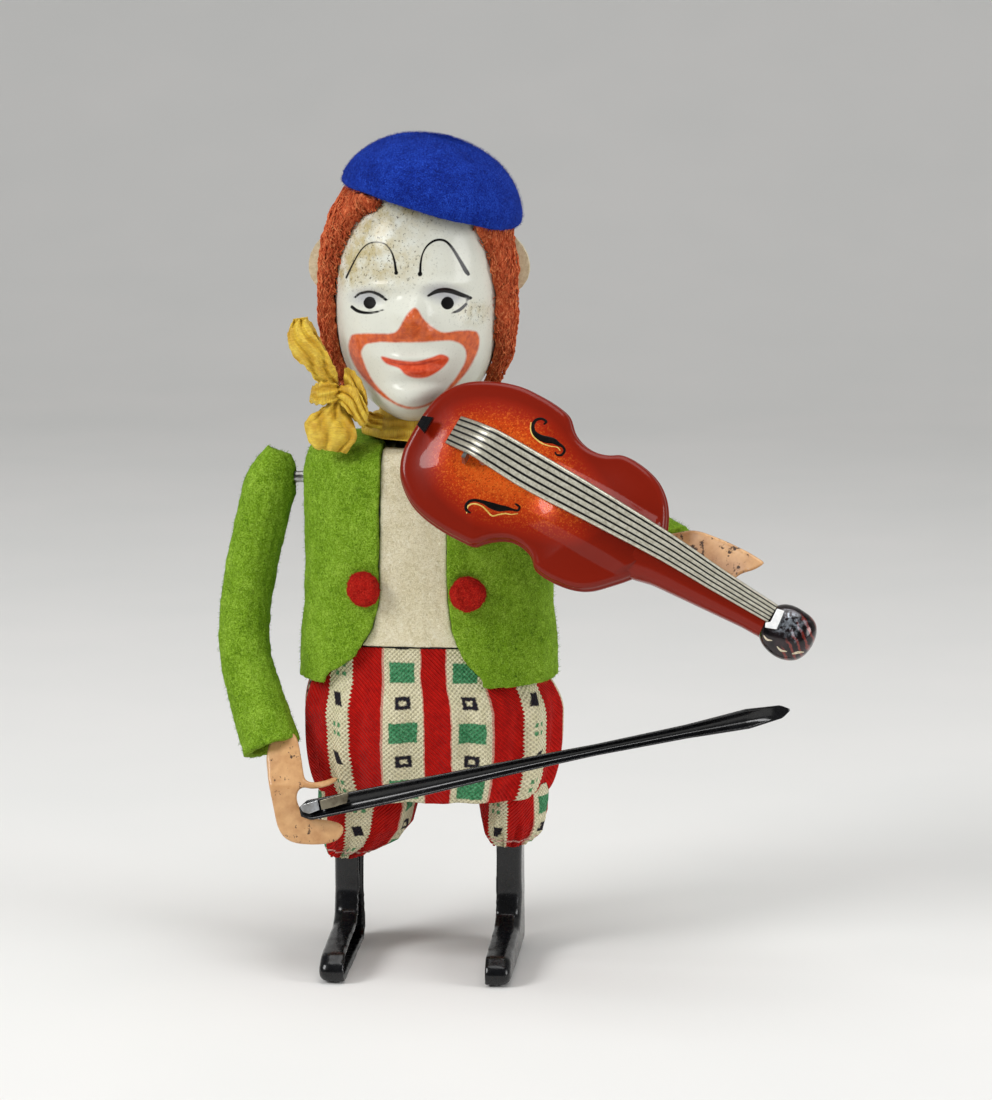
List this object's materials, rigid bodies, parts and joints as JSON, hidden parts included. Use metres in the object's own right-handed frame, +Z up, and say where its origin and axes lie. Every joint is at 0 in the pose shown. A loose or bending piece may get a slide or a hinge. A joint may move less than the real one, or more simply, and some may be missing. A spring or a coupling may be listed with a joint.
{
  "type": "wind-up clown toy",
  "caption": "Clockwork tin clown in a felt jacket and beret with a violin under its chin; a spring motor swings the bow arm and shakes the figure.",
  "frame": {"origin": "middle of the bounding box on the floor plane that the shoes stand on", "axes": "+Z up, the clown looks along -Y and its right hand, with the bow, is at -X"},
  "size_m": [0.0812, 0.0546, 0.1142],
  "materials": {
    "tinplate": "plain tinplate",
    "steel": "bare steel",
    "brass": "bare brass",
    "black_lacquer": "gloss black lacquer, scuffed",
    "face_lacquer": "gloss white lacquer with hand-painted face",
    "flesh_lacquer": "gloss flesh lacquer",
    "violin_lacquer": "gloss red-brown lacquer with an orange sunburst",
    "string_print": "cream strip with printed strings",
    "green_felt": "lime green wool felt",
    "cream_felt": "cream wool felt",
    "red_felt": "red wool felt",
    "blue_felt": "royal blue plush felt",
    "hair_wool": "curled rust-red wool",
    "gold_ribbon": "golden yellow woven ribbon",
    "striped_cotton": "woven cotton with red and cream stripes"
  },
  "bodies": {
    "figure": {"body_shell": "tinplate", "base_plate": "tinplate", "neck_tube": "tinplate", "right_leg": "black_lacquer", "left_leg": "black_lacquer", "head_front": "face_lacquer", "head_back": "face_lacquer", "hair": "hair_wool", "beret": "blue_felt", "jacket": "green_felt", "shirt_front": "cream_felt", "right_button": "red_felt", "left_button": "red_felt", "trousers_seat": "striped_cotton", "right_trouser_leg": "striped_cotton", "left_trouser_leg": "striped_cotton", "left_sleeve": "green_felt", "left_arm": "flesh_lacquer", "left_arm_stud": "steel", "neck_ribbon": "gold_ribbon", "violin_top": "violin_lacquer", "violin_back": "violin_lacquer", "string_strip": "string_print", "violin_bridge": "steel", "bridge_rivet": "steel", "tailpiece": "black_lacquer", "peg_head": "black_lacquer", "violin_nut": "face_lacquer", "front_plate": "steel", "back_plate": "steel", "pillar_lower_left": "steel", "pillar_lower_right": "steel", "pillar_upper": "steel", "click_pin": "steel", "click_spring": "steel", "yoke_guide_pin": "steel", "arm_bracket": "steel"},
    "bow_arm": {"right_sleeve": "green_felt", "right_arm": "flesh_lacquer", "arm_shaft": "steel", "arm_lever": "steel", "bow_stick": "black_lacquer", "bow_frog": "tinplate"},
    "link": {"yoke_link": "steel"},
    "great_wheel": {"great_wheel": "brass", "mainspring": "steel"},
    "second_wheel": {"second_wheel": "brass"},
    "weight": {"weight_arbor": "brass", "eccentric_weight": "brass"},
    "arbor": {"winding_arbor": "steel"},
    "key": {"winding_key": "steel"},
    "click": {"click": "steel"}
  },
  "joints": [
    {"name": "bow_arm_swing", "type": "hinge", "parent": "figure", "child": "bow_arm", "pos_m": [-0.0334, 0.00209, 0.0663], "axis": [-1, 0, 0], "range_deg": [0, 48]},
    {"name": "link_lift", "type": "slide", "parent": "figure", "child": "link", "axis": [0, 0, 1], "range_m": [0, 0.0041]},
    {"name": "great_wheel_turn", "type": "hinge", "parent": "figure", "child": "great_wheel", "pos_m": [-0.0117, 0.00209, 0.047], "axis": [0, 1, 0], "continuous": true},
    {"name": "second_wheel_turn", "type": "hinge", "parent": "figure", "child": "second_wheel", "pos_m": [-0.01773, 0.00209, 0.0565], "axis": [0, 1, 0], "continuous": true},
    {"name": "weight_turn", "type": "hinge", "parent": "figure", "child": "weight", "pos_m": [-0.01052, 0.00209, 0.0589], "axis": [0, 1, 0], "continuous": true},
    {"name": "winding_turn", "type": "hinge", "parent": "figure", "child": "arbor", "pos_m": [-0.0117, 0.00209, 0.047], "axis": [0, 1, 0], "continuous": true},
    {"name": "key_pull", "type": "slide", "parent": "arbor", "child": "key", "axis": [0, 1, 0], "range_m": [0, 0.012]},
    {"name": "click_lift", "type": "hinge", "parent": "figure", "child": "click", "pos_m": [-0.0061, 0.0083, 0.0502], "axis": [0, 1, 0], "range_deg": [0, 8]}
  ],
  "couplings": [
    {"joint": "link_lift", "follows": "bow_arm_swing", "m_per_rad": 0.0048285},
    {"joint": "second_wheel_turn", "follows": "great_wheel_turn", "ratio": -4},
    {"joint": "weight_turn", "follows": "great_wheel_turn", "ratio": 15}
  ]
}
